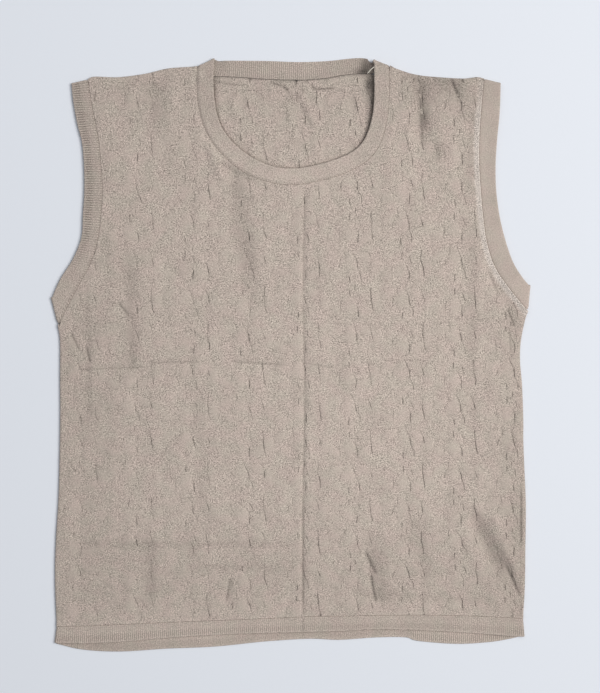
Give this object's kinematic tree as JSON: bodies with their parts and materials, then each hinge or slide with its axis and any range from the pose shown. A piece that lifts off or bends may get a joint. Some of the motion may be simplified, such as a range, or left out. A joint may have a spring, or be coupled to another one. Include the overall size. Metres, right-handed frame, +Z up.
{
  "type": "knit tank top",
  "caption": "Sleeveless knitted top laid flat, front up, with ribbed neck, armholes and hem and a raised flower pattern in the knit.",
  "frame": {"origin": "on the surface the garment lies on, under the middle of its outline", "axes": "+Y from the hem to the neck, +X to the right as seen from above, +Z up off the surface"},
  "size_m": [0.4786, 0.593, 0.0087],
  "materials": {
    "flower_knit": "matt beige flower-patterned knit",
    "rib_knit": "matt beige fine rib knit"
  },
  "bodies": {
    "root": {"front_panel": "flower_knit", "back_panel": "flower_knit", "hem_front": "rib_knit", "hem_back": "rib_knit", "neckband": "rib_knit", "armband_left": "rib_knit", "armband_right": "rib_knit"}
  },
  "joints": []
}
